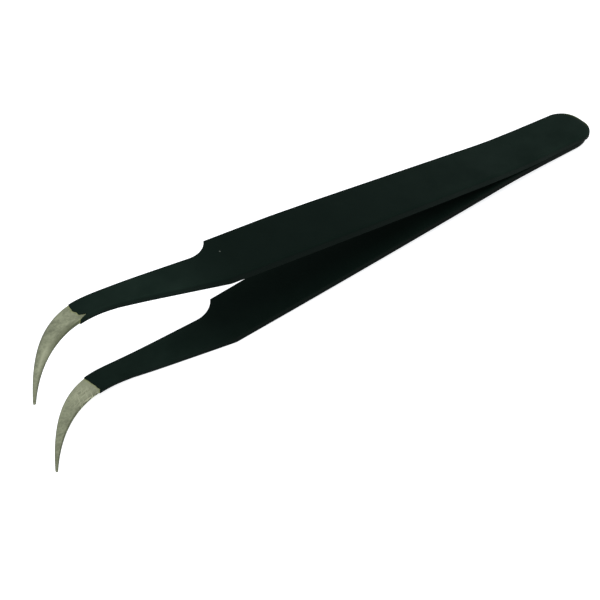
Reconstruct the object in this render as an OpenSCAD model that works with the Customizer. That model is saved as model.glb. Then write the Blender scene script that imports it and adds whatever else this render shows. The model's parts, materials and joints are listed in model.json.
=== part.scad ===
// Curved-tip tweezers, lying on the outer face of the lower leaf.
// Two steel leaves are welded face to face at the heel and spread toward hooked points.
// Each leaf is lofted through stations along its length. A station is a point on the
// near edge (the side that the points hook to), one on the far edge, and a thickness.
// The leaves are built about the mid plane between them and are then laid down.

/* [Length] */
// Heel end to points, over the coating
overall_length = 115; // [112:0.5:120]
// Stretch where the two leaves lie face to face
heel_length = 19; // [16:0.5:21]
// Heel end to the shoulder, where the grip steps down to the neck
shoulder_x = 79.3; // [76:0.1:81]

/* [Leaf outline] */
// Width of the steel where its rounded heel end begins
heel_width = 8.6; // [8:0.1:9]
// Depth of the elliptical rounding of the heel end on the far side
far_round = 4.2; // [3:0.1:5]
// Depth of the tighter rounding on the near side
near_round = 3; // [2:0.1:4]
// How far the very end of the heel stands to the near side of the mid line
heel_apex = 0.4; // [0:0.1:1.2]
// Length over which each leaf thins to the very end of the heel
end_run = 1.7; // [1:0.1:2.5]
// How much each leaf thins there
end_drop = 0.7; // [0.4:0.05:0.8]
// Width of the steel over the grip
grip_width = 10.1; // [9.8:0.1:11]
// Length of the straight taper from the heel width to the grip width, on the far side
far_taper = 54; // [45:1:56]
// Length of the bowed taper on the near side
near_taper = 69; // [50:1:72]
// How far the far edge comes in just before the shoulder
shoulder_ease = 0.4; // [0.2:0.05:0.7]
// Length over which the far edge comes in
ease_length = 12; // [8:1:16]
// Radius of the hollow that leads from the shoulder into the neck
hollow_r = 4.4; // [3.6:0.1:5]
// Distance from the mid line to the far edge where the neck begins
neck_far = 2.1; // [1.8:0.05:2.4]
// Angle at which the neck's far edge still leaves the mid line
neck_far_angle = 2.6; // [2:0.1:4]
// Distance from the shoulder to the corner on the near edge
corner_lead = 0.8; // [0.4:0.1:1.4]
// Angle at which the neck's near edge closes on the mid line
neck_near_angle = 12.5; // [11.8:0.1:13]

/* [Hook] */
// Length from the start of the hook to the points
hook_length = 16.3; // [15.5:0.1:16.8]
// Distance by which the hook starts sooner on the near edge
near_lead = 1.6; // [1:0.1:2]
// How far the points stand to the near side of the mid line
hook_offset = 11.6; // [11:0.1:12]
// Direction of the far edge at the point
far_heading = 69.5; // [68:0.5:72]
// Direction of the near edge at the point
near_heading = 63.5; // [61:0.5:65]
// Pull of the neck's direction on the hook's far edge
far_pull_in = 4.8; // [4.2:0.1:5.4]
// Pull of the point's direction on the hook's far edge
far_pull_out = 16.1; // [15:0.1:16.8]
// Pull of the neck's direction on the hook's near edge
near_pull_in = 2; // [1.7:0.1:2.5]
// Pull of the point's direction on the hook's near edge
near_pull_out = 14.4; // [14:0.1:15.2]
// Width of the blunt end of a point
point_width = 0.4; // [0.35:0.05:0.6]
// Share of the hook that the coating still covers
coated_share = 0.32; // [0.2:0.01:0.4]

/* [Thickness and spread] */
// Thickness of the steel leaf
leaf_t = 1.3; // [1.15:0.05:1.4]
// Length behind which the arm has its full thickness
root_run = 8; // [6:0.5:10]
// Thickness of the steel at the root of the neck
neck_t = 1.25; // [1.15:0.05:1.4]
// Thickness of the steel at the start of the hook
hook_t = 0.9; // [0.8:0.05:1.1]
// Thickness of the steel at the point
point_t = 0.35; // [0.3:0.05:0.45]
// Angle at which each leaf leaves the mid plane in front of the heel
spread_angle = 5.6; // [5:0.05:6]
// Angle at which each hook leans back toward the mid plane
toe_in = 0.7; // [0.5:0.1:2]
// Radius of the bend between the spreading and the leaning stretch
bend_r = 145; // [100:5:160]
// Distance from the middle of that bend to the points
bend_lead = 16.4; // [15:0.1:18]
// Radius of the rounded outer edges of the steel
edge_r = 0.35; // [0.25:0.05:0.45]
// Bevel of the inner edges of the steel
inner_bevel = 0.12; // [0.1:0.01:0.15]

/* [Coating and welds] */
// Thickness of the black epoxy coating
coating_t = 0.1; // [0.08:0.01:0.12]
// Depth of the seam line between the leaves along the heel
seam_depth = 0.06; // [0.04:0.01:0.08]
// Diameter of each spot weld
weld_d = 3; // [2.6:0.1:3.4]
// Depth to which each spot weld reaches into either leaf
weld_depth = 0.5; // [0.4:0.05:0.6]
// Heel end to the middle of the rear weld
weld_x = 6; // [5.5:0.1:7]
// Distance between the two spot welds
weld_pitch = 6; // [5:0.1:7]

/* [Hidden] */
coating_colour = [0.13, 0.15, 0.14];
steel_colour = [0.62, 0.64, 0.58];
weld_colour = [0.5, 0.52, 0.5];

// Steps along the curved stretches of the outline
heel_steps = 9;
taper_steps = 3;
hollow_steps = 7;
neck_steps = 5;
coated_steps = 3;
bare_steps = 12;
corner_steps = 3;
weld_steps = 6;
weld_facets = 36;
// Halvings that find the point straight across the hook
halvings = 16;
// Turn from the flat at the very end of the heel to the side
first_turn = 6;
// Shares of a narrow section that one rounded edge and one bevel may take
round_of_width = 0.4;
round_of_height = 0.6;
bevel_share = 0.2;

function clamp01(a) = min(1, max(0, a));
function mix(a, b, k) = a + (b - a) * k;
function heading(a) = [cos(a), sin(a)];
function flat(lists) = [for (l = lists, e = l) e];

// Plan outline of the steel
steel_start = coating_t;
ellipse_start = steel_start - far_round * (1 - cos(first_turn));
ellipse_end = ellipse_start + far_round;
taper_end = ellipse_end + far_taper;
grip_half = grip_width / 2;
shoulder_drop = grip_half - shoulder_ease - neck_far;
hollow_end = shoulder_x + sqrt(pow(hollow_r, 2) - pow(hollow_r - shoulder_drop, 2));
corner_x = shoulder_x + corner_lead;
hook_start = overall_length - hook_length;
near_start = hook_start - near_lead;
root_end = heel_length + root_run;

// Distance from the mid line to each edge up to the shoulder
function far_half(x) =
    mix(heel_width / 2, grip_half, clamp01((x - ellipse_end) / far_taper));
function near_half(x) =
    mix(grip_half, heel_width / 2, pow(1 - clamp01((x - ellipse_end) / near_taper), 2));

// An edge's y at x, drawn in to the apex by the rounding of the heel end
function rounded(y, x, depth) =
    mix(heel_apex, y, sqrt(1 - pow(1 - clamp01((x - ellipse_start) / depth), 2)));

// Far edge: grip, eased shoulder, round hollow, neck
function far_y(x) =
    x <= shoulder_x ? rounded(-far_half(x), x, far_round)
                      + shoulder_ease * clamp01((x - shoulder_x + ease_length) / ease_length)
    : x < hollow_end ? sqrt(pow(hollow_r, 2) - pow(hollow_end - x, 2)) - hollow_r - neck_far
    : -neck_far - (x - hollow_end) * tan(neck_far_angle);

// Near edge: grip, then a straight that runs in from the corner
function near_y(x) =
    rounded(near_half(x), x, near_round)
    - max(0, x - corner_x) * tan(neck_near_angle);

// The hook's edges are cubic curves from the neck's direction to the point's
function cubic(p, u) =
    pow(1 - u, 3) * p[0] + 3 * pow(1 - u, 2) * u * p[1] + 3 * (1 - u) * u * u * p[2]
    + pow(u, 3) * p[3];
function cubic_heading(p, u) =
    pow(1 - u, 2) * (p[1] - p[0]) + 2 * (1 - u) * u * (p[2] - p[1]) + u * u * (p[3] - p[2]);
function pulled(from, from_angle, pull_in, to, to_angle, pull_out) =
    [from, from + heading(from_angle) * pull_in, to - heading(to_angle) * pull_out, to];

point_across = heading((far_heading + near_heading) / 2 + 90) * point_width / 2;
point_mid = [overall_length + point_across.x, hook_offset];
far_hook = pulled([hook_start, far_y(hook_start)], -neck_far_angle, far_pull_in,
                  point_mid - point_across, far_heading, far_pull_out);
near_hook = pulled([near_start, near_y(near_start)], -neck_near_angle / 2, near_pull_in,
                   point_mid + point_across, near_heading, near_pull_out);

// Where the near edge lies square across the leaf from a point on the far edge
function across(p, dir, low, high, left) =
    let (u = (low + high) / 2)
    left == 0 ? cubic(near_hook, u)
    : (cubic(near_hook, u) - p) * dir < 0 ? across(p, dir, u, high, left - 1)
    : across(p, dir, low, u, left - 1);

// Thickness of the steel. The arm starts thinner, as the coating runs in between the leaves.
arm_thickness = [[heel_length, leaf_t - coating_t], [root_end, leaf_t],
                 [shoulder_x, leaf_t], [hollow_end, neck_t], [hook_start, hook_t]];
function heel_thickness(x) =
    leaf_t - end_drop * (1 - sqrt(1 - pow(clamp01(1 - (x - steel_start) / end_run), 2)));

// A station is [near point, far point, thickness]
function plain_station(x, t) = [[x, near_y(x)], [x, far_y(x)], t];
function hook_station(u) =
    let (p = cubic(far_hook, u))
    [across(p, cubic_heading(far_hook, u), 0, 1, halvings), p, mix(hook_t, point_t, u)];

heel_xs = concat([for (i = [0:heel_steps])
    ellipse_start + far_round * (1 - cos(mix(first_turn, 90, i / heel_steps)))],
    [mix(ellipse_end, heel_length, 0.5), heel_length]);
hollow_turn = asin((hollow_r - shoulder_drop) / hollow_r);
hollow_xs = [for (i = [1:hollow_steps])
    hollow_end - hollow_r * cos(mix(hollow_turn, 90, i / hollow_steps))];
arm_xs = concat([heel_length, heel_length + root_run / 2],
                [for (i = [0:taper_steps]) mix(root_end, taper_end, i / taper_steps)],
                [shoulder_x - ease_length, shoulder_x],
                [for (x = hollow_xs) if (x < corner_x) x], [corner_x],
                [for (x = hollow_xs) if (x > corner_x) x],
                [for (i = [1:neck_steps]) mix(hollow_end, near_start, i / neck_steps)]);
hook_us = concat([for (i = [0:coated_steps]) coated_share * i / coated_steps],
                 [for (i = [1:bare_steps]) mix(coated_share, 1, i / bare_steps)]);
heel_stations = [for (x = heel_xs) plain_station(x, heel_thickness(x))];
arm_stations = concat([for (x = arm_xs) plain_station(x, lookup(x, arm_thickness))],
                      [for (u = hook_us) hook_station(u)]);
coated_count = len(arm_xs) + coated_steps + 1;
heel_count = len(heel_xs);

// Height of the coated inner face of an arm above the mid plane
spread_slope = tan(spread_angle);
bend_half = bend_r * (spread_slope + tan(toe_in)) / 2;
bend_mid = overall_length - bend_lead;
function gap(x) =
    spread_slope * max(0, x - heel_length)
    - pow(min(2 * bend_half, max(0, x - bend_mid + bend_half)), 2) / (2 * bend_r)
    - (spread_slope + tan(toe_in)) * max(0, x - bend_mid - bend_half);

// Cross-section at a station, as [across, up] from the near point of the inner face:
// inner bevel, rounded outer edge, rounded outer edge, inner bevel
function profile(w, t, r, bevel) =
    let (rr = min(r, round_of_width * w, round_of_height * t),
         bb = min(bevel, bevel_share * w, bevel_share * t),
         turns = [for (k = [0:corner_steps]) 90 * k / corner_steps],
         back_turns = [for (k = [corner_steps:-1:0]) 90 * k / corner_steps])
    concat([[bb, 0], [0, bb]],
           [for (a = turns) [rr * (1 - cos(a)), t - rr * (1 - sin(a))]],
           [for (a = back_turns) [w - rr * (1 - cos(a)), t - rr * (1 - sin(a))]],
           [[w, bb], [w - bb, 0]]);
function placed(s, q) = s[0] + (s[1] - s[0]) / norm(s[1] - s[0]) * q;
function heel_ring(s, r, bevel) =
    [for (q = profile(norm(s[1] - s[0]), s[2], r, bevel))
        let (p = placed(s, q[0])) [p.x, p.y, q[1]]];
function arm_ring(s, lift, r, bevel) =
    [for (q = profile(norm(s[1] - s[0]), s[2], r, bevel))
        let (p = placed(s, q[0])) [p.x, p.y, gap(p.x) + lift + q[1]]];

// Ring round both leaves of the heel: the upper ring without its first inner point,
// then the lower one mirrored, so that the two share the points of the seam
function pair_ring(ring) =
    let (n = len(ring))
    concat([for (j = [1:n - 1]) ring[j]],
           [for (j = [n - 2:-1:1]) [ring[j].x, ring[j].y, -ring[j].z]], [ring[0]]);

// Edges of the leaf moved out by the coating, square to each edge
all_stations = concat([for (k = [0:heel_count - 2]) heel_stations[k]], arm_stations);
function edge_normal(k, edge) =
    let (d = all_stations[min(k + 1, len(all_stations) - 1)][edge]
             - all_stations[max(k - 1, 0)][edge])
    [-d.y, d.x] / norm(d);
function grown(k, t) =
    [all_stations[k][0] + edge_normal(k, 0) * coating_t,
     all_stations[k][1] - edge_normal(k, 1) * coating_t, t];

heel_steel = [for (s = heel_stations) heel_ring(s, edge_r, inner_bevel)];
heel_shell = [for (k = [0:heel_count - 1])
    pair_ring(heel_ring(grown(k, heel_stations[k][2] + coating_t), edge_r + coating_t,
                        seam_depth))];
arm_steel = [for (s = arm_stations) arm_ring(s, coating_t, edge_r, inner_bevel)];
arm_shell = [for (k = [0:coated_count - 1])
    arm_ring(grown(heel_count - 1 + k, arm_stations[k][2] + 2 * coating_t), 0,
             edge_r + coating_t, inner_bevel)];

// Two triangles for each side between rings of n points that start at a and b
function band(a, b, n) =
    [for (j = [0:n - 1], half = [0, 1])
        let (i = (j + 1) % n) half == 0 ? [a + j, b + j, b + i] : [a + j, b + i, a + i]];
function flipped(faces) = [for (f = faces) [f[2], f[1], f[0]]];
// End face as a fan of triangles from the ring's last point, facing back or front
function cap(a, n) = [for (j = [0:n - 3]) [a + n - 1, a + j, a + j + 1]];
function front_cap(a, n) = [for (j = [0:n - 3]) [a + n - 1, a + j + 1, a + j]];

module loft(rings) {
    n = len(rings[0]);
    last = len(rings) - 1;
    sides = flat([for (k = [1:last]) band((k - 1) * n, k * n, n)]);
    polyhedron(flat(rings), concat(sides, cap(0, n), front_cap(last * n, n)));
}

// Shell between two lists of rings, open at the front
module shell(outer, inner, closed_back) {
    n = len(outer[0]);
    m = len(outer);
    sides = flat([for (k = [1:m - 1])
        concat(band((k - 1) * n, k * n, n), flipped(band((m + k - 1) * n, (m + k) * n, n)))]);
    front = band((m - 1) * n, (2 * m - 1) * n, n);
    back = closed_back ? concat(cap(0, n), front_cap(m * n, n)) : band(m * n, 0, n);
    polyhedron(concat(flat(outer), flat(inner)), concat(sides, front, back));
}

module welds() {
    turns = [for (k = [0:2 * weld_steps]) 90 - 90 * k / weld_steps];
    lens = [for (a = turns) [weld_d / 2 * cos(a), weld_depth * sin(a)]];
    for (x = [weld_x, weld_x + weld_pitch])
        translate([x, 0, 0])
            rotate_extrude($fn = weld_facets)
                polygon(lens);
}

// Laying down: the heel end and the neck of the lower leaf touch the ground
function deepest(ring) = [ring[0].x, max([for (p = ring) p.z])];
heel_depths = [for (r = heel_shell) deepest(r)];
arm_depths = [for (r = arm_shell) deepest(r)];
tilt = atan(max([for (a = arm_depths)
    min([for (h = heel_depths) if (h.x < ellipse_end) (a.y - h.y) / (a.x - h.x)])]));
function turned(p) =
    [p.x * cos(tilt) - p.z * sin(tilt), p.y, p.x * sin(tilt) + p.z * cos(tilt)];
laid_points = [for (r = concat(heel_shell, arm_shell, arm_steel), p = r, side = [-1, 1])
    turned([p.x, p.y, side * p.z])];
laid_x = [for (p = laid_points) p.x];
laid_y = [for (p = laid_points) p.y];
laid_z = [for (p = laid_points) p.z];

module laid() {
    translate([-(max(laid_x) + min(laid_x)) / 2, -(max(laid_y) + min(laid_y)) / 2, -min(laid_z)])
        rotate([0, -tilt, 0])
            children();
}

// The lower leaf mirrors the upper one
module lower() {
    mirror([0, 0, 1])
        children();
}

module leaf_heel() {
    difference() {
        loft(heel_steel);
        welds();
    }
}

module upper_leaf_heel() {
    color(steel_colour) laid() leaf_heel();
}

module lower_leaf_heel() {
    color(steel_colour) laid() lower() leaf_heel();
}

module heel_welds() {
    color(weld_colour) laid() welds();
}

module heel_coating() {
    inner = [for (r = heel_steel) pair_ring(r)];
    color(coating_colour) laid() shell(heel_shell, inner, true);
}

module upper_leaf_arm() {
    color(steel_colour) laid() loft(arm_steel);
}

module lower_leaf_arm() {
    color(steel_colour) laid() lower() loft(arm_steel);
}

module arm_coating() {
    inner = [for (k = [0:coated_count - 1]) arm_steel[k]];
    shell(arm_shell, inner, false);
}

module upper_arm_coating() {
    color(coating_colour) laid() arm_coating();
}

module lower_arm_coating() {
    color(coating_colour) laid() lower() arm_coating();
}

upper_leaf_heel();
lower_leaf_heel();
heel_welds();
heel_coating();
upper_leaf_arm();
lower_leaf_arm();
upper_arm_coating();
lower_arm_coating();
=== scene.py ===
import json
import math
import bmesh
import bpy
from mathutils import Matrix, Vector, noise


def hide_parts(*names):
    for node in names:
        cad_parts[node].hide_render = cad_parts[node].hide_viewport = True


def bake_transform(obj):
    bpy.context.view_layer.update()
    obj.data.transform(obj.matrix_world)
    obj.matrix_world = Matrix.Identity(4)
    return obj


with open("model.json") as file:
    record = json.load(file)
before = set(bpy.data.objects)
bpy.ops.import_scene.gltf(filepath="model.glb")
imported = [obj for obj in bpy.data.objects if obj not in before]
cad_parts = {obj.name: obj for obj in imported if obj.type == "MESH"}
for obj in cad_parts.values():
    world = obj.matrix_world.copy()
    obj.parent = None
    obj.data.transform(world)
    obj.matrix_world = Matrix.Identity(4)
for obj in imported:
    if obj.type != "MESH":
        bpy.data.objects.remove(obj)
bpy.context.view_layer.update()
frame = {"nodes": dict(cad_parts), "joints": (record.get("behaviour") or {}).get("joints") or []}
print("frame loaded")

mm = 0.001

# The leaf, in millimetres from the heel end, about the plane between the leaves
leaf = {
    "length": 115.0, "heelLength": 19.0, "partStart": 11.7, "shoulder": 79.3,
    "heelWidth": 8.6, "farRound": 4.2, "nearRound": 3.0, "heelApex": 0.4,
    "endRun": 1.7, "endDrop": 0.7, "gripWidth": 10.1, "farTaper": 54.0, "nearTaper": 69.0,
    "shoulderEase": 0.4, "easeLength": 12.0, "hollow": 4.4,
    "neckFar": 2.1, "neckFarAngle": 2.6, "cornerLead": 0.8, "neckNearAngle": 12.5,
    "hookLength": 16.3, "nearLead": 1.6, "hookOffset": 11.6, "pointWidth": 0.4,
    "farHeading": 69.5, "farPullIn": 4.8, "farPullOut": 16.1,
    "nearHeading": 63.5, "nearPullIn": 2.0, "nearPullOut": 14.4,
    "thickness": 1.3, "rootRun": 8.0, "neckThickness": 1.25, "hookThickness": 0.9,
    "pointThickness": 0.35, "spread": 5.6, "toeIn": 0.7, "bendRadius": 145.0, "bendLead": 16.4,
    "coating": 0.1, "edgeRound": 0.35, "innerBevel": 0.12, "tilt": 4.45216, "halvings": 24,
}


def clamp01(a):
    return min(1.0, max(0.0, a))


def mix(a, b, k):
    return a + (b - a) * k


def heading(angle):
    return Vector((math.cos(math.radians(angle)), math.sin(math.radians(angle))))


def slope(angle):
    return math.tan(math.radians(angle))


gripHalf = leaf["gripWidth"] / 2
heelStart = leaf["coating"]
roundEnd = heelStart + leaf["farRound"]
rootEnd = leaf["heelLength"] + leaf["rootRun"]
hollowDrop = leaf["hollow"] - (gripHalf - leaf["shoulderEase"] - leaf["neckFar"])
hollowEnd = leaf["shoulder"] + math.sqrt(leaf["hollow"] ** 2 - hollowDrop**2)
cornerX = leaf["shoulder"] + leaf["cornerLead"]
hookStart = leaf["length"] - leaf["hookLength"]
nearStart = hookStart - leaf["nearLead"]


def farHalf(x):
    return mix(leaf["heelWidth"] / 2, gripHalf, clamp01((x - roundEnd) / leaf["farTaper"]))


def nearHalf(x):
    ease = (1 - clamp01((x - roundEnd) / leaf["nearTaper"])) ** 2
    return mix(gripHalf, leaf["heelWidth"] / 2, ease)


def rounded(y, x, depth):  # the heel end draws both edges in to its apex
    return mix(leaf["heelApex"], y, math.sqrt(1 - (1 - clamp01((x - heelStart) / depth)) ** 2))


def farY(x):
    if x <= leaf["shoulder"]:
        ease = clamp01((x - leaf["shoulder"] + leaf["easeLength"]) / leaf["easeLength"])
        return rounded(-farHalf(x), x, leaf["farRound"]) + leaf["shoulderEase"] * ease
    if x < hollowEnd:
        drop = math.sqrt(leaf["hollow"] ** 2 - (hollowEnd - x) ** 2)
        return drop - leaf["hollow"] - leaf["neckFar"]
    return -leaf["neckFar"] - (x - hollowEnd) * slope(leaf["neckFarAngle"])


def nearY(x):
    edge = rounded(nearHalf(x), x, leaf["nearRound"])
    return edge - max(0.0, x - cornerX) * slope(leaf["neckNearAngle"])


def hookCurve(start, startAngle, pullIn, end, endAngle, pullOut):
    return (start, start + heading(startAngle) * pullIn, end - heading(endAngle) * pullOut, end)


def along(curve, u):
    a, b, c, d = curve
    return a * (1 - u) ** 3 + b * 3 * (1 - u) ** 2 * u + c * 3 * (1 - u) * u * u + d * u**3


def alongHeading(curve, u):
    a, b, c, d = curve
    return (b - a) * (1 - u) ** 2 + (c - b) * 2 * (1 - u) * u + (d - c) * u * u


pointTurn = (leaf["farHeading"] + leaf["nearHeading"]) / 2 + 90
pointAcross = heading(pointTurn) * leaf["pointWidth"] / 2
pointMid = Vector((leaf["length"] + pointAcross.x, leaf["hookOffset"]))
farHook = hookCurve(Vector((hookStart, farY(hookStart))), -leaf["neckFarAngle"],
                    leaf["farPullIn"], pointMid - pointAcross, leaf["farHeading"],
                    leaf["farPullOut"])
nearHook = hookCurve(Vector((nearStart, nearY(nearStart))), -leaf["neckNearAngle"] / 2,
                     leaf["nearPullIn"], pointMid + pointAcross, leaf["nearHeading"],
                     leaf["nearPullOut"])


def acrossShare(u):  # where the near edge lies square across from the far edge
    point, direction, low, high = along(farHook, u), alongHeading(farHook, u), 0.0, 1.0
    for _ in range(leaf["halvings"]):
        middle = (low + high) / 2
        if (along(nearHook, middle) - point).dot(direction) < 0:
            low = middle
        else:
            high = middle
    return middle


def steelThickness(x):
    marks = [(leaf["heelLength"], leaf["thickness"] - leaf["coating"]),
             (rootEnd, leaf["thickness"]), (leaf["shoulder"], leaf["thickness"]),
             (hollowEnd, leaf["neckThickness"]), (hookStart, leaf["hookThickness"])]
    fall = clamp01(1 - (x - heelStart) / leaf["endRun"])
    end = leaf["endDrop"] * (1 - math.sqrt(1 - fall**2))
    for (x0, t0), (x1, t1) in zip(marks, marks[1:]):
        if x < x1:
            return mix(t0, t1, clamp01((x - x0) / (x1 - x0))) - end
    return marks[-1][1]


def station(s):  # near point, far point, thickness; the hook counts as 1 past its start
    if s <= nearStart:
        return Vector((s, nearY(s))), Vector((s, farY(s))), steelThickness(s)
    if s <= hookStart:
        share = acrossShare(0.0) * (s - nearStart) / (hookStart - nearStart)
        return along(nearHook, share), Vector((s, farY(s))), steelThickness(s)
    u = min(1.0, s - hookStart)
    return (along(nearHook, acrossShare(u)), along(farHook, u),
            mix(leaf["hookThickness"], leaf["pointThickness"], u))


bendHalf = leaf["bendRadius"] * (slope(leaf["spread"]) + slope(leaf["toeIn"])) / 2
bendMid = leaf["length"] - leaf["bendLead"]


def gap(x):  # half the space between the coated leaves
    inBend = min(2 * bendHalf, max(0.0, x - bendMid + bendHalf))
    past = max(0.0, x - bendMid - bendHalf)
    parting = 2 * (leaf["heelLength"] - leaf["partStart"])
    ahead = max(0.0, x - leaf["partStart"])
    opened = min(ahead, parting) ** 2 / (2 * parting) + max(0.0, ahead - parting)
    return (slope(leaf["spread"]) * opened - inBend**2 / (2 * leaf["bendRadius"])
            - (slope(leaf["spread"]) + slope(leaf["toeIn"])) * past)


# Where the mid plane lies: the hinge is on it at the front of the heel
hinge = next(joint for joint in frame["joints"] if joint["name"] == "upper_flex")["pos_m"]
turn = math.radians(leaf["tilt"])


def laid(x, y, z):  # millimetres on the leaf to metres in the frame
    x -= leaf["heelLength"]
    return Vector((hinge[0] + (x * math.cos(turn) - z * math.sin(turn)) * mm,
                   hinge[1] + y * mm,
                   hinge[2] + (x * math.sin(turn) + z * math.cos(turn)) * mm))


print("leaf outline ready")

# Cross-section and loft; a limit is the most that a size takes of the width and the thickness
section = {
    "cornerSteps": 7, "bevelSteps": 3, "topSteps": 14, "innerSteps": 12,
    "support": 0.09, "bevelCurve": 1.3, "crownWidth": 0.27, "crownDepth": 0.55,
    "roundLimit": (0.4, 0.6), "bevelLimit": (0.2, 0.3), "supportLimit": (0.1, 0.1),
    "headingStep": 0.004, "startMargin": 1e-5, "mergeMetres": 1e-7,
}


def limited(size, limits, w, t):
    return min(size, limits[0] * w, limits[1] * t)


def profile(w, t, roundOff, bevel, crown=0.0):  # points round a section, from the inner near edge
    r = limited(roundOff, section["roundLimit"], w, t)
    b = limited(bevel, section["bevelLimit"], w, t)
    s = limited(section["support"], section["supportLimit"], w, t)
    wide = mix(r, section["crownWidth"] * w, crown)
    deep = mix(r, section["crownDepth"] * t, crown)
    steps, turns, top, inner = (section[key] for key in ("bevelSteps", "cornerSteps", "topSteps",
                                                         "innerSteps"))
    curve = section["bevelCurve"]
    side = [(b * (1 - k / steps) ** curve, b * (k / steps) ** curve) for k in range(steps + 1)]
    side += [(0, b + s), (0, t - deep - s)]
    side += [(wide * (1 - math.cos(a)), t - deep * (1 - math.sin(a)))
             for a in (math.pi / 2 * k / turns for k in range(turns + 1))]
    across = [(mix(wide + s, w - wide - s, k / top), t) for k in range(top + 1)]
    under = [(mix(w - b - s, b + s, k / inner), 0) for k in range(inner + 1)]
    return side + across + [(w - v, up) for v, up in reversed(side)] + under


def ringAt(s, grow, roundOff, bevel, crown=0.0):  # points round the leaf at s, moved out by grow
    step = section["headingStep"]
    near, far, t = station(s)
    nearA, farA, _ = station(max(heelStart + section["startMargin"], s - step))
    nearB, farB, _ = station(s + step)
    nearWay, farWay = (nearB - nearA).normalized(), (farB - farA).normalized()
    near = near + Vector((-nearWay.y, nearWay.x)) * grow
    far = far - Vector((-farWay.y, farWay.x)) * grow
    way, width = (far - near).normalized(), (far - near).length
    lift = leaf["coating"] - grow
    ring = []
    for v, up in profile(width, t + 2 * grow, roundOff, bevel, crown):
        p = near + way * v
        ring.append((p.x, p.y, gap(p.x) + lift + up))
    return ring


# A closed tube through the rings; side is 1 for the upper leaf and -1 for the lower one
def loft(name, rings, side, marks):
    rows, columns = len(rings), len(rings[0])
    bm = bmesh.new()
    bmesh.ops.create_grid(bm, x_segments=rows - 1, y_segments=columns, size=0.5)
    uvLayer = bm.loops.layers.uv.new("leaf")
    layers = {key: bm.verts.layers.float.new(key) for key in marks}
    place = {}
    for vert in bm.verts:
        i, j = round((vert.co.x + 0.5) * (rows - 1)), round((vert.co.y + 0.5) * columns)
        place[vert] = (i, j)
        x, y, z = rings[i][j % columns]
        for key, layer in layers.items():
            vert[layer] = marks[key][i][j % columns]
        vert.co = laid(x, y, side * z)
    for face in bm.faces:
        for loop in face.loops:
            i, j = place[loop.vert]
            loop[uvLayer].uv = (i / (rows - 1), j / columns)
    bmesh.ops.remove_doubles(bm, verts=bm.verts, dist=section["mergeMetres"])
    ends = [edge for edge in bm.edges if edge.is_boundary]
    bmesh.ops.holes_fill(bm, edges=ends)
    bmesh.ops.recalc_face_normals(bm, faces=bm.faces)
    for face in bm.faces:
        face.smooth = len(face.verts) == 4
    mesh = bpy.data.meshes.new(name)
    bm.to_mesh(mesh)
    bm.free()
    piece = bpy.data.objects.new(name, mesh)
    bpy.context.scene.collection.objects.link(piece)
    return piece


# Places along the leaf, closer where it curves
stations = {
    "heelAngles": (2, 5, 8, 11, 14, 17, 20, 24, 28, 32, 36, 41, 46, 51, 56, 62, 68, 74, 80, 86, 90),
    "gripFrom": 0.7, "gripStep": 1.1, "gripTo": 1.0, "shoulder": (-0.7, -0.3, -0.1, -0.03, 0.0),
    "hollowSteps": 20, "corner": (-0.25, -0.08, 0.0, 0.08, 0.25),
    "neckFrom": 0.6, "neckStep": 0.9, "neckTo": 0.3, "leadSteps": 3, "closest": 0.004,
}


def evenly(start, end, step):
    marks = []
    while start < end:
        marks.append(start)
        start += step
    return marks


def leafStations():
    marks = [heelStart + leaf["farRound"] * (1 - math.cos(math.radians(a)))
             for a in stations["heelAngles"]]
    marks += evenly(roundEnd + stations["gripFrom"], leaf["shoulder"] - stations["gripTo"],
                    stations["gripStep"])
    marks += [leaf["shoulder"] + d for d in stations["shoulder"]]
    start, steps = math.asin(hollowDrop / leaf["hollow"]), stations["hollowSteps"]
    marks += [hollowEnd - leaf["hollow"] * math.cos(mix(start, math.pi / 2, k / steps))
              for k in range(1, steps + 1)]
    marks += [cornerX + d for d in stations["corner"]]
    marks += evenly(hollowEnd + stations["neckFrom"], nearStart - stations["neckTo"],
                    stations["neckStep"])
    marks += [mix(nearStart, hookStart, k / stations["leadSteps"])
              for k in range(stations["leadSteps"] + 1)]
    marks = sorted(marks)
    return [x for k, x in enumerate(marks) if k == 0 or x - marks[k - 1] > stations["closest"]]


bodyMarks = leafStations()

# The coating ends raggedly on the hook: share of the hook that is coated, from the near edge
coatEnds = {
    "upper": {
        "outer": ((0.0, 0.362), (0.045, 0.33), (0.08, 0.235), (0.13, 0.222), (0.18, 0.28),
                  (0.25, 0.318), (0.43, 0.305), (0.55, 0.325), (0.75, 0.317), (1.0, 0.298)),
        "inner": ((0.0, 0.375), (0.4, 0.33), (1.0, 0.30)), "seed": 3.1,
    },
    "lower": {
        "outer": ((0.0, 0.34), (0.5, 0.325), (1.0, 0.33)),
        "inner": ((0.0, 0.335), (0.08, 0.31), (0.22, 0.33), (0.37, 0.318), (0.53, 0.325),
                  (0.7, 0.33), (1.0, 0.335)), "seed": 8.4,
    },
    "ragged": 0.006, "raggedScale": 2.2, "fray": 0.006, "frayScale": 11.0,
}
sampleWidth, sampleHeight = 4.0, 1.0
sample = profile(sampleWidth, sampleHeight, leaf["edgeRound"], leaf["innerBevel"])


def readAcross(marks, v):
    for (v0, a), (v1, b) in zip(marks, marks[1:]):
        if v <= v1:
            return mix(a, b, clamp01((v - v0) / (v1 - v0)))
    return marks[-1][1]


def coatEnd(which, j):  # share of the hook that is coated at column j
    end, (v, up) = coatEnds[which], sample[j]
    outer, inner = (readAcross(end[face], v / sampleWidth) for face in ("outer", "inner"))
    angle = 2 * math.pi * j / len(sample)
    place = Vector((math.cos(angle), math.sin(angle), end["seed"]))
    rough = noise.noise(place * coatEnds["raggedScale"]) * coatEnds["ragged"]
    fray = noise.noise(place * coatEnds["frayScale"]) * coatEnds["fray"]
    return mix(inner, outer, up / sampleHeight) + rough + fray


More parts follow.
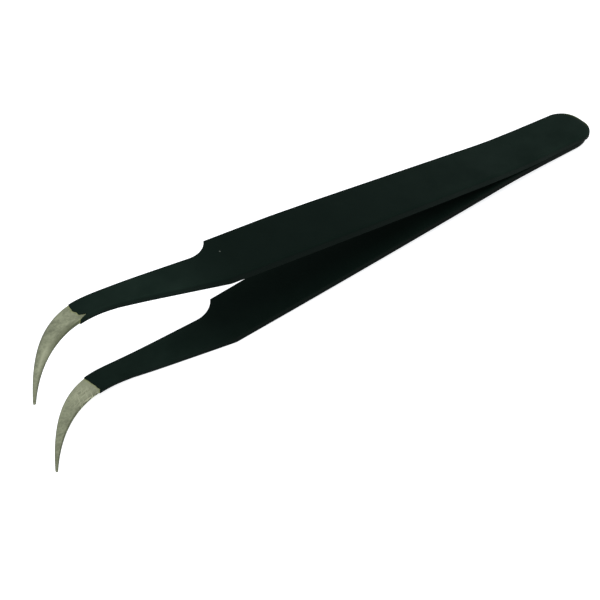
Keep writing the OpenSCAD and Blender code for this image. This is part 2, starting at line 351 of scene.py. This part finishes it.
# Coating, one skin over each leaf, thin and uneven where it ends
coat = {
    "round": 0.43, "heelRound": 0.82, "heelRun": (2.0, 16.0), "bevel": 0.08,
    "nearCorner": {"upper": leaf["nearRound"], "lower": 4.8},
    "steps": 9, "lastStep": 0.4, "inner": -0.02, "thin": 3,
    "lip": ((0.0, 0.1), (0.0022, 0.085), (0.0042, 0.05), (0.005, 0.0)),
    "gripDarkening": (22.0, 58.0, 80.0, 87.0),
    "tones": ((0.0, 1.04), (12.0, 1.03), (24.0, 0.96), (45.0, 0.91), (76.0, 0.90), (84.0, 1.0),
              (91.0, 1.3), (98.0, 1.15)),
    # painted highlight over the rounded outer edges, and painted shade on the sides of each leaf
    "edgeHighlight": 0.2,
    "sideShades": {"upper": ((0.0, 0.72), (100.0, 0.70)),
                  "lower": ((0.0, 0.66), (14.0, 0.33), (36.0, 0.33), (60.0, 0.66))},
    "edgeLineFar": ((1.2, 0.9), (2.8, 0.0)), "edgeLineNear": ((0.7, 0.8), (1.3, 0.0)),
    "edgeLineBand": (0.80, 0.87, 0.94, 1.0),
}


def edgeRound(s):  # the outer edges are softer toward the heel end
    start, end = coat["heelRun"]
    return mix(coat["heelRound"], coat["round"], clamp01((s - start) / (end - start)))


def heelCorner(which, s, ring):  # the lower leaf has the rounder corner at the heel end
    corner = coat["nearCorner"][which]
    if s >= heelStart + corner:
        return ring
    k = rounded(nearHalf(s), s, corner) / nearY(s)
    return [(x, y * k if y > 0 else y, z) for x, y, z in ring]


def steelRing(which, s, grow):  # the steel's own section, also under the coating
    softened = max(leaf["edgeRound"], edgeRound(s) - leaf["coating"])
    return heelCorner(which, s, ringAt(s, grow, softened, leaf["innerBevel"]))


# Steel leaves, with bare points that grow rounder toward the tip
steelParts = {
    "hookSteps": 52, "lastShare": 0.993, "rimFrom": 0.215, "rimStep": 0.006, "rimSteps": 28,
    "hookBevel": 0.22, "crownFrom": 0.33, "crownTo": 0.65, "crown": 0.9,
    "endRounding": ((0.9965, 0.97), (0.999, 0.86), (1.0, 0.66)), "rimWidth": 0.02,
    # painted highlights: brighter inner faces along the hook, and a soft spot on the upper hook
    "paintedHighlight": ((0.3, 0.33), (0.5, 0.3), (0.62, 0.15), (0.78, 0.0)),
    "spot": {"at": (0.79, 0.34), "reach": (0.09, 0.25), "tone": 0.7},
    # a painted shaded spot on the upper hook; below it, how far painted shade reaches over the
    # sides
    "shadeSpot": {"at": (0.705, 0.5), "reach": (0.045, 0.8), "tone": 0.2},
    "shadeNear": 0.13, "shadeFar": 0.05, "shadeEase": ((0.55, 1.0), (0.75, 0.7)),
    "tipDark": ((0.9, 0.0), (1.0, 0.45)),
}


def scaledRing(ring, k):
    centre = [sum(p[a] for p in ring) / len(ring) for a in range(3)]
    return [tuple(mix(centre[a], p[a], k) for a in range(3)) for p in ring]


def softPlace(place, share, v):  # a soft round place on the hook
    (alongMid, acrossMid), (length, width) = place["at"], place["reach"]
    away = ((share - alongMid) / length) ** 2 + ((v - acrossMid) / width) ** 2
    return place["tone"] * math.exp(-away)


def shadeShare(which, share, v):  # painted shade: 1 on the shaded sides, fading over the edge of each face, with a painted shaded spot on the upper hook, and darker toward the point
    near = steelParts["shadeNear"] * readAcross(steelParts["shadeEase"], share)
    tip = readAcross(steelParts["tipDark"], share)
    shadeSpot = softPlace(steelParts["shadeSpot"], share, v) if which == "upper" else 0.0
    return max(clamp01(1 - v / near), clamp01(1 - (1 - v) / steelParts["shadeFar"]), tip, shadeSpot)


def highlightShare(which, share, v, up):  # painted highlight: brighter on the inner faces along the hook, and a painted highlight spot on the upper hook
    if up == 0:
        return readAcross(steelParts["paintedHighlight"], share)
    return softPlace(steelParts["spot"], share, v) if which == "upper" else 0.0


def rimShare(share, end):  # a stained line just past the coating's end
    width = steelParts["rimWidth"]
    return max(0.0, 1 - abs(share - end - width / 2) / width)


def hookRing(share):
    start, end = steelParts["crownFrom"], steelParts["crownTo"]
    worn = clamp01((share - start) / (end - start))
    bevel = mix(leaf["innerBevel"], steelParts["hookBevel"], worn)
    return ringAt(hookStart + share, 0.0, leaf["edgeRound"], bevel, steelParts["crown"] * worn)


def steelLeaf(name, which, side):
    rings = [steelRing(which, s, 0.0) for s in bodyMarks]
    steps = steelParts["hookSteps"]
    shares = [steelParts["lastShare"] * k / steps for k in range(1, steps + 1)]
    shares += [steelParts["rimFrom"] + steelParts["rimStep"] * k
               for k in range(steelParts["rimSteps"])]
    shares.sort()
    rings += [hookRing(share) for share in shares]
    rings += [scaledRing(hookRing(share), size) for share, size in steelParts["endRounding"]]
    hookShares = [-1.0] * len(bodyMarks) + shares + [1.0] * len(steelParts["endRounding"])
    ends = [coatEnd(which, j) for j in range(len(sample))]
    across = [(v / sampleWidth, up) for v, up in sample]
    return loft(name, rings, side, {
        "rim": [[rimShare(share, end) for end in ends] for share in hookShares],
        "sideShade": [[shadeShare(which, share, v) for v, up in across] for share in hookShares],
        "paintedHighlight": [[highlightShare(which, share, v, up) for v, up in across]
                   for share in hookShares]})


upperSteel = steelLeaf("upperSteelLeaf", "upper", 1)
lowerSteel = steelLeaf("lowerSteelLeaf", "lower", -1)
print("steel leaves", len(upperSteel.data.polygons))


def gripDarkening(s):  # how much darker the coating is over the grip
    start, full, end, clean = coat["gripDarkening"]
    return clamp01((s - start) / (full - start)) * clamp01((clean - s) / (clean - end))


def sideShare(v, up):  # 0 on the flat faces, 1 on the sides, and how far round the outer edge
    inward, edge = min(v, sampleWidth - v), leaf["edgeRound"]
    if up == 0 or inward >= edge:
        return 0.0, 0.0
    angle = math.acos(1 - inward / edge)
    return 1 - 2 * angle / math.pi, math.sin(2 * angle)


def shadedToneRow(which, s):  # the tone along the leaf, with painted highlight over the rounded outer edges and painted shade on the sides
    side, tone = readAcross(coat["sideShades"][which], s), readAcross(coat["tones"], s)
    turned = [sideShare(v, up) for v, up in sample]
    return [tone * (mix(1.0, side, share) + coat["edgeHighlight"] * edge) for share, edge in turned]


def heelEdgeLine(s, v, up):  # an olive line along the outer edge of the rounded heel end
    if up == 0:
        return 0.0
    far = v > sampleWidth / 2
    y, depth, marks = ((farY(s) / farHalf(s), leaf["farRound"], "edgeLineFar") if far else
                       (nearY(s) / nearHalf(s), leaf["nearRound"], "edgeLineNear"))
    out = math.hypot(1 - clamp01((s - heelStart) / depth), y * (2 * v / sampleWidth - 1))
    start, full, fading, end = coat["edgeLineBand"]
    band = min(clamp01((out - start) / (full - start)), clamp01((end - out) / (end - fading)))
    return readAcross(coat[marks], s) * band * clamp01(2 - 2 * sideShare(v, up)[0])


def raggedRing(shares, height):
    edge = mix(leaf["edgeRound"], coat["round"], clamp01(height / leaf["coating"]))
    return [ringAt(hookStart + share, height, edge, coat["bevel"])[j]
            for j, share in enumerate(shares)]


def coatSkin(name, which, side):
    rings = [heelCorner(which, s, ringAt(s, leaf["coating"], edgeRound(s), coat["bevel"]))
             for s in bodyMarks]
    ends = [coatEnd(which, j) for j in range(len(sample))]
    for k in range(1, coat["steps"] + 1):
        reached = [end * k / (coat["steps"] + coat["lastStep"]) for end in ends]
        rings.append(raggedRing(reached, leaf["coating"]))
    for lead, height in coat["lip"]:
        rings.append(raggedRing([end + lead for end in ends], height))
    rings.append(raggedRing(ends, coat["inner"]))
    insideMarks = bodyMarks[:: coat["thin"]][::-1]
    places = bodyMarks + [hookStart] * (len(rings) - len(bodyMarks)) + insideMarks
    rings += [steelRing(which, s, coat["inner"]) for s in insideMarks]
    return loft(name, rings, side, {
        "gripDarkening": [[gripDarkening(s)] * len(sample) for s in places],
        "tone": [shadedToneRow(which, s) for s in places],
        "worn": [[heelEdgeLine(s, v, up) for v, up in sample] for s in places]})


upperCoat = coatSkin("upperCoating", "upper", 1)
lowerCoat = coatSkin("lowerCoating", "lower", -1)
print("coating", len(upperCoat.data.polygons))


# Materials are set out in millimetres: a noise is its scale, detail and roughness, a range is
# from, from, to, to, and a bump is its strength and height
def newMaterial(name):
    material = bpy.data.materials.new(name)
    material.use_nodes = True
    material.node_tree.nodes.clear()
    tree = material.node_tree
    shader = tree.nodes.new("ShaderNodeBsdfPrincipled")
    output = tree.nodes.new("ShaderNodeOutputMaterial")
    tree.links.new(shader.outputs["BSDF"], output.inputs["Surface"])
    return material, tree, shader


def addNode(tree, kind, values, **settings):
    node = tree.nodes.new("ShaderNode" + kind)
    for key, value in settings.items():
        setattr(node, key, value)
    for key, value in values.items():
        if isinstance(value, bpy.types.NodeSocket):
            tree.links.new(value, node.inputs[key])
        else:
            node.inputs[key].default_value = value
    return node


def millimetres(tree):
    where = addNode(tree, "TexCoord", {}).outputs["Object"]
    counted = {"Vector": where, "Scale": (1 / mm, 1 / mm, 1 / mm)}
    return addNode(tree, "Mapping", counted).outputs["Vector"]


def noiseField(tree, where, scale, detail=2.0, roughness=0.5):
    return addNode(tree, "TexNoise", {"Vector": where, "Scale": scale, "Detail": detail,
                                      "Roughness": roughness}).outputs["Fac"]


def ramp(tree, value, places, colours):
    node = addNode(tree, "ValToRGB", {"Fac": value})
    for element, place, colour in zip(node.color_ramp.elements, places, colours):
        element.position, element.color = place, colour
    return node.outputs["Color"]


def ranged(tree, value, low, high, toLow, toHigh):
    return addNode(tree, "MapRange", {"Value": value, "From Min": low, "From Max": high,
                                      "To Min": toLow, "To Max": toHigh}).outputs["Result"]


def maths(tree, operation, a, b):
    return addNode(tree, "Math", {0: a, 1: b}, operation=operation).outputs[0]


def painted(tree, name):  # a share that the mesh carries
    return addNode(tree, "Attribute", {}, attribute_name=name).outputs["Fac"]


def tinted(tree, share, below, above):
    return addNode(tree, "Mix", {"Factor": share, "A": below, "B": above},
                   data_type="RGBA").outputs["Result"]


def distanceFrom(tree, where, place):  # in millimetres from a place in the frame
    return addNode(tree, "VectorMath", {0: where, 1: tuple(place / mm)},
                   operation="DISTANCE").outputs["Value"]


def bumps(tree, layers):
    normal = None
    for height, strength, distance in layers:
        values = {"Height": height, "Strength": strength, "Distance": distance * mm}
        if normal is not None:
            values["Normal"] = normal
        normal = addNode(tree, "Bump", values).outputs["Normal"]
    return normal


# Matt black-green epoxy: clouded, orange-peeled, darker over the grip, chipped, olive along the
# heel end; painted shade on sides, painted highlight on edges
epoxy = {
    "dark": (0.0047, 0.0100, 0.0076, 1), "light": (0.0074, 0.0141, 0.0109, 1),
    "cloud": (0.16, 4.0, 0.6), "cloudRamp": (0.35, 0.68),
    "gripDark": (0.0036, 0.0079, 0.0060, 1), "blotch": (0.3, 2.0),
    "blotchRange": (0.3, 0.7, 0.7, 1.0), "worn": (0.045, 0.058, 0.011, 1),
    "peel": (1.7, 1.5), "peelBump": (0.16, 0.05), "grain": (7.0, 2.0, 0.6),
    "grainBump": (0.10, 0.02), "roughness": (0.3, 0.7, 0.40, 0.52), "sheen": 0.011,
    "chip": (78.45, -1.0), "chipRange": (0.26, 0.21, 0.0, 1.0), "chipNoise": 6.0,
    "chipRagged": 0.3, "bare": (0.20, 0.22, 0.19, 1),
}


def chipShare(tree, where):
    x, y = epoxy["chip"]
    place = laid(x, y, gap(x) + leaf["thickness"] + 2 * leaf["coating"])
    ragged = maths(tree, "MULTIPLY", noiseField(tree, where, epoxy["chipNoise"]),
                   epoxy["chipRagged"])
    edge = maths(tree, "ADD", distanceFrom(tree, where, place), ragged)
    return ranged(tree, edge, *epoxy["chipRange"])


def coatingFinish():
    material, tree, shader = newMaterial("mattBlackEpoxy")
    where = millimetres(tree)
    cloud = noiseField(tree, where, *epoxy["cloud"])
    colour = ramp(tree, cloud, epoxy["cloudRamp"], (epoxy["dark"], epoxy["light"]))
    blotch = ranged(tree, noiseField(tree, where, *epoxy["blotch"]), *epoxy["blotchRange"])
    # the coating is darker over the grip, in blotches
    gripDark = maths(tree, "MULTIPLY", painted(tree, "gripDarkening"), blotch)
    colour = tinted(tree, gripDark, colour, epoxy["gripDark"])
    # the tone mark scales the colour: painted shade on the sides, painted highlight over the outer
    # edges
    colour = addNode(tree, "VectorMath", {0: colour, "Scale": painted(tree, "tone")},
                     operation="SCALE").outputs[0]
    # an olive line along the outer edge of the heel end
    colour = tinted(tree, painted(tree, "worn"), colour, epoxy["worn"])
    colour = tinted(tree, chipShare(tree, where), colour, epoxy["bare"])
    peel = noiseField(tree, where, *epoxy["peel"])
    grain = noiseField(tree, where, *epoxy["grain"])
    normal = bumps(tree, ((peel, *epoxy["peelBump"]), (grain, *epoxy["grainBump"])))
    tree.links.new(colour, shader.inputs["Base Color"])
    tree.links.new(ranged(tree, grain, *epoxy["roughness"]), shader.inputs["Roughness"])
    tree.links.new(normal, shader.inputs["Normal"])
    shader.inputs["Specular IOR Level"].default_value = epoxy["sheen"]
    return material


# Fine crossing scratches where the lower hook begins
swirl = {
    "place": (105.4, 0.8), "reach": (3.6, 1.0), "tone": 0.85, "turns": (18.0, 78.0),
    "size": (1.5, 0.2, 1.0), "noise": (1.0, 1.0), "lines": (0.54, 0.61, 0.0, 1.0),
}


def swirls(tree, where):
    lines = None
    for turned in swirl["turns"]:
        field = addNode(tree, "Mapping", {"Vector": where, "Scale": swirl["size"],
                                          "Rotation": (0, 0, math.radians(turned))},
                        vector_type="TEXTURE").outputs["Vector"]
        line = ranged(tree, noiseField(tree, field, *swirl["noise"]), *swirl["lines"])
        lines = line if lines is None else maths(tree, "MAXIMUM", lines, line)
    x, y = swirl["place"]
    away = distanceFrom(tree, where, laid(x, y, -gap(x)))
    reach = ranged(tree, away, *swirl["reach"], 0.0, swirl["tone"])
    return maths(tree, "MULTIPLY", lines, reach)


# Dull blasted steel: mottled, scratched along its length, with painted shade on the sides and
# painted highlights on the hooks
blasted = {
    "dark": (0.176, 0.190, 0.127, 1), "light": (0.364, 0.385, 0.262, 1),
    "cloud": (0.55, 3.0, 0.6), "mottle": (2.6, 2.0, 0.6), "mottleShare": 0.4,
    "cloudRamp": (0.34, 0.66), "grain": (14.0, 2.0, 0.7), "grainBump": (0.22, 0.012),
    "roughness": (0.3, 0.7, 0.42, 0.56), "streakScale": (45, 130, 1), "streak": (1.0, 2.0),
    "streakLines": (0.62, 0.68, 0.0, 0.75), "streakBump": (0.12, 0.01),
    "patch": (0.7, 1.0), "patchRange": (0.45, 0.6, 0.0, 1.0),
    # the first colour here is the painted shade on the sides; worn lightens scratches and painted
    # highlights
    "sideShade": (0.085, 0.094, 0.056, 1), "worn": (0.46, 0.475, 0.33, 1),
    "rim": (0.30, 0.33, 0.12, 1), "rimStrength": 0.5,
}


def steelFinish():
    material, tree, shader = newMaterial("blastedSteel")
    where = millimetres(tree)
    cloud = addNode(tree, "Mix", {"Factor": blasted["mottleShare"],
                                  "A": noiseField(tree, where, *blasted["cloud"]),
                                  "B": noiseField(tree, where, *blasted["mottle"])})
    colour = ramp(tree, cloud.outputs["Result"], blasted["cloudRamp"],
                  (blasted["dark"], blasted["light"]))
    grain = noiseField(tree, where, *blasted["grain"])
    leafMap = addNode(tree, "TexCoord", {}).outputs["UV"]
    alongLeaf = addNode(tree, "Mapping", {"Vector": leafMap, "Scale": blasted["streakScale"]})
    streaks = noiseField(tree, alongLeaf.outputs["Vector"], *blasted["streak"])
    patches = ranged(tree, noiseField(tree, where, *blasted["patch"]), *blasted["patchRange"])
    scratches = maths(tree, "MULTIPLY", ranged(tree, streaks, *blasted["streakLines"]), patches)
    # real scratches and swirls, and the painted highlights, all lighten toward the worn colour
    scratchesAndHighlight = maths(tree, "MAXIMUM", scratches, painted(tree, "paintedHighlight"))
    scratchesAndHighlight = maths(tree, "MAXIMUM", scratchesAndHighlight, swirls(tree, where))
    # painted shade darkens the sides and the shaded spot
    colour = tinted(tree, painted(tree, "sideShade"), colour, blasted["sideShade"])
    colour = tinted(tree, scratchesAndHighlight, colour, blasted["worn"])
    rim = maths(tree, "MULTIPLY", painted(tree, "rim"), blasted["rimStrength"])
    colour = tinted(tree, rim, colour, blasted["rim"])
    normal = bumps(tree, ((grain, *blasted["grainBump"]), (streaks, *blasted["streakBump"])))
    tree.links.new(colour, shader.inputs["Base Color"])
    tree.links.new(ranged(tree, grain, *blasted["roughness"]), shader.inputs["Roughness"])
    tree.links.new(normal, shader.inputs["Normal"])
    shader.inputs["Metallic"].default_value = 1.0
    return material


# The welds inside the heel
welded = {
    "light": (0.28, 0.27, 0.26, 1), "dark": (0.176, 0.190, 0.127, 1), "ripple": (4.0, 2.0),
    "ramp": (0.3, 0.7), "roughness": (0.3, 0.7, 0.35, 0.5), "bump": (0.3, 0.02),
}


def weldFinish():
    material, tree, shader = newMaterial("weldedSteel")
    ripple = noiseField(tree, millimetres(tree), *welded["ripple"])
    colour = ramp(tree, ripple, welded["ramp"], (welded["light"], welded["dark"]))
    tree.links.new(colour, shader.inputs["Base Color"])
    tree.links.new(ranged(tree, ripple, *welded["roughness"]), shader.inputs["Roughness"])
    tree.links.new(bumps(tree, ((ripple, *welded["bump"]),)), shader.inputs["Normal"])
    shader.inputs["Metallic"].default_value = 1.0
    return material


coating, steel, weld = coatingFinish(), steelFinish(), weldFinish()
for piece, material in ((upperSteel, steel), (lowerSteel, steel),
                        (upperCoat, coating), (lowerCoat, coating)):
    piece.data.materials.append(material)
for name, node in frame["nodes"].items():
    material = weld if "weld" in name else coating if "coating" in name else steel
    for nodeSlot in node.material_slots:
        nodeSlot.material = material
print("finishes")

# Two points mark the stretch from the front of the heel to the grip, where the leaves bend; nothing
# reads them
flex = {"from": 12.0, "to": 30.0}
flexStart = laid(flex["from"], 0, 0)
flexEnd = Vector((laid(flex["to"], 0, 0).x, flexStart.y, flexStart.z))
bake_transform(upperSteel)
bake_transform(upperCoat)
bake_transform(lowerSteel)
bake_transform(lowerCoat)
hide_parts("upper_leaf_heel", "upper_leaf_arm")
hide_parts("lower_leaf_heel", "lower_leaf_arm")
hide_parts("heel_coating", "upper_arm_coating")
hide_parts("heel_coating", "lower_arm_coating")

# Floor, light and camera; a light is its name, place, size and power
studio = {
    "floorSize": 6.0, "floorColour": (0.60, 0.603, 0.61, 1), "floorRoughness": 0.9,
    "floorShine": 0.1, "floorLight": (0.905, 0.91, 0.92, 1), "floorGlow": 0.85,
    "world": (0.96, 0.98, 1.0, 1), "worldStrength": 0.8,
    "lights": (("overhead", (0.05, 0.09, 0.75), 0.5, 2.0),
               ("fill", (-0.50, 0.15, 0.45), 0.4, 0.5)),
    "cameraPlace": (63.315, 99.842, 124.464), "cameraTurn": (42.0531, 4.7728, 146.2972),
    "lens": 60.0, "sensor": 36.0, "nearest": 0.01,
}


def floorFinish():
    material, _, shader = newMaterial("paleFloor")
    shader.inputs["Base Color"].default_value = studio["floorColour"]
    shader.inputs["Roughness"].default_value = studio["floorRoughness"]
    shader.inputs["Specular IOR Level"].default_value = studio["floorShine"]
    shader.inputs["Emission Color"].default_value = studio["floorLight"]
    shader.inputs["Emission Strength"].default_value = studio["floorGlow"]
    return material


bm = bmesh.new()
bmesh.ops.create_grid(bm, x_segments=2, y_segments=2, size=studio["floorSize"] / 2)
floorMesh = bpy.data.meshes.new("floor")
bm.to_mesh(floorMesh)
bm.free()
floor = bpy.data.objects.new("floor", floorMesh)
bpy.context.scene.collection.objects.link(floor)
floor.data.materials.append(floorFinish())

world = bpy.data.worlds.new("studio")
bpy.context.scene.world = world
world.use_nodes = True
world.node_tree.nodes["Background"].inputs["Color"].default_value = studio["world"]
world.node_tree.nodes["Background"].inputs["Strength"].default_value = studio["worldStrength"]

for name, place, size, power in studio["lights"]:
    lamp = bpy.data.lights.new(name, "AREA")
    lamp.size, lamp.energy = size, power
    holder = bpy.data.objects.new(name, lamp)
    holder.location = place
    holder.rotation_euler = Vector(place).to_track_quat("Z", "Y").to_euler()
    bpy.context.scene.collection.objects.link(holder)

camera = bpy.data.objects.new("camera", bpy.data.cameras.new("camera"))
camera.location = Vector(studio["cameraPlace"]) * mm
camera.rotation_euler = [math.radians(a) for a in studio["cameraTurn"]]
camera.data.lens, camera.data.sensor_width = studio["lens"], studio["sensor"]
camera.data.clip_start = studio["nearest"]
bpy.context.scene.collection.objects.link(camera)
bpy.context.scene.camera = camera
bpy.context.scene.view_settings.view_transform = "Standard"
print("studio")
